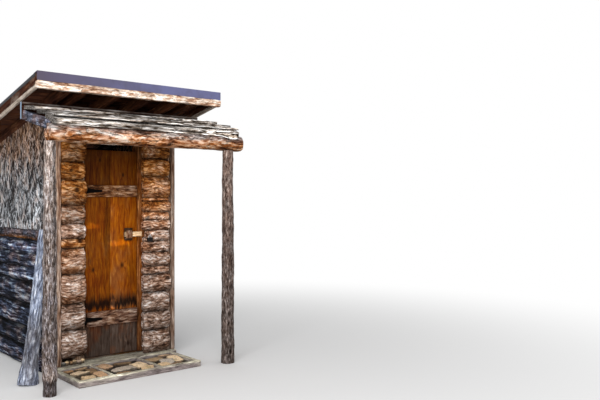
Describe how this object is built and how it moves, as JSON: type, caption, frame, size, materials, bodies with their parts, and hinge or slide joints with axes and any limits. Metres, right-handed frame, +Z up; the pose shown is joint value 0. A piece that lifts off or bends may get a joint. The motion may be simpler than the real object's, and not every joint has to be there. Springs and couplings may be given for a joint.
{
  "type": "wooden outhouse",
  "caption": "Small log and bark-slab outhouse with a lean-to metal roof, a slab awning on two round posts, a plank door and a stone-filled doorstep.",
  "frame": {"origin": "on the ground, on the underside of the front sill, under the middle of the front wall", "axes": "+X to the right along the front, +Y to the back, +Z up"},
  "size_m": [1.9006, 2.3396, 2.5173],
  "materials": {
    "weathered_timber": "weathered, rough sawn",
    "frame_timber": "sawn, aged brown",
    "wall_logs": "round logs, weathered dark blue-grey",
    "bark_slabs": "rough bark-faced slabs, silver grey",
    "front_logs": "peeled half logs, orange brown fading to grey",
    "roof_timber": "dark stained boards",
    "roof_metal": "slate blue satin paint",
    "fascia_bark": "peeled pale half log",
    "awning_wood": "silver grey split slabs",
    "beam_wood": "peeled log, orange brown",
    "post_bark": "barked round poles, grey brown",
    "leaning_wood": "bare weathered log, blue grey",
    "strap_metal": "thin pale sheet strip",
    "step_timber": "weathered boards",
    "step_stone": "flat field stones",
    "black_iron": "black wrought iron",
    "staple_steel": "zinc plated wire",
    "lock_body": "black enamel",
    "door_wood": "wide planks, honey brown with dark weather marks",
    "batten_wood": "rough sawn battens",
    "bolt_wood": "pale rubbed wood"
  },
  "bodies": {
    "house": {"front_sill": "weathered_timber", "floor_joists": "frame_timber", "floor_boards": "frame_timber", "corner_posts": "frame_timber", "left_wall_logs": "wall_logs", "right_wall_logs": "wall_logs", "back_wall_logs": "wall_logs", "wall_rails": "weathered_timber", "left_wall_slabs": "bark_slabs", "right_wall_slabs": "bark_slabs", "back_wall_slabs": "bark_slabs", "front_left_logs": "front_logs", "front_right_logs": "front_logs", "latch_log": "front_logs", "corner_boards": "weathered_timber", "door_posts": "frame_timber", "door_stops": "door_wood", "header_logs": "front_logs", "wall_plates": "frame_timber", "rafters": "roof_timber", "roof_boards": "roof_timber", "roof_sheet": "roof_metal", "roof_trim": "roof_metal", "fascia_log": "fascia_bark", "barge_boards": "roof_timber", "awning_ledger": "roof_timber", "awning_rafters": "awning_wood", "awning_slab_upper": "awning_wood", "awning_slab_middle": "awning_wood", "awning_slab_lower": "awning_wood", "porch_beam": "beam_wood", "left_porch_post": "post_bark", "right_porch_post": "post_bark", "leaning_log": "leaning_wood", "ledger_strap": "strap_metal", "step_rails": "step_timber", "step_ends": "step_timber", "step_stones": "step_stone", "hinge_pintles": "black_iron", "padlock_staple": "staple_steel", "padlock": "lock_body"},
    "door": {"door_planks": "door_wood", "door_battens": "batten_wood", "hinge_straps": "black_iron", "latch_block": "batten_wood"},
    "bolt": {"door_bolt": "bolt_wood"}
  },
  "joints": [
    {"name": "door_hinge", "type": "hinge", "parent": "house", "child": "door", "pos_m": [-0.272, 0.05795, 1], "axis": [0, 0, -1], "range_deg": [0, 95]},
    {"name": "bolt_slide", "type": "slide", "parent": "door", "child": "bolt", "axis": [1, 0, 0], "range_m": [-0.06, 0.025]}
  ]
}
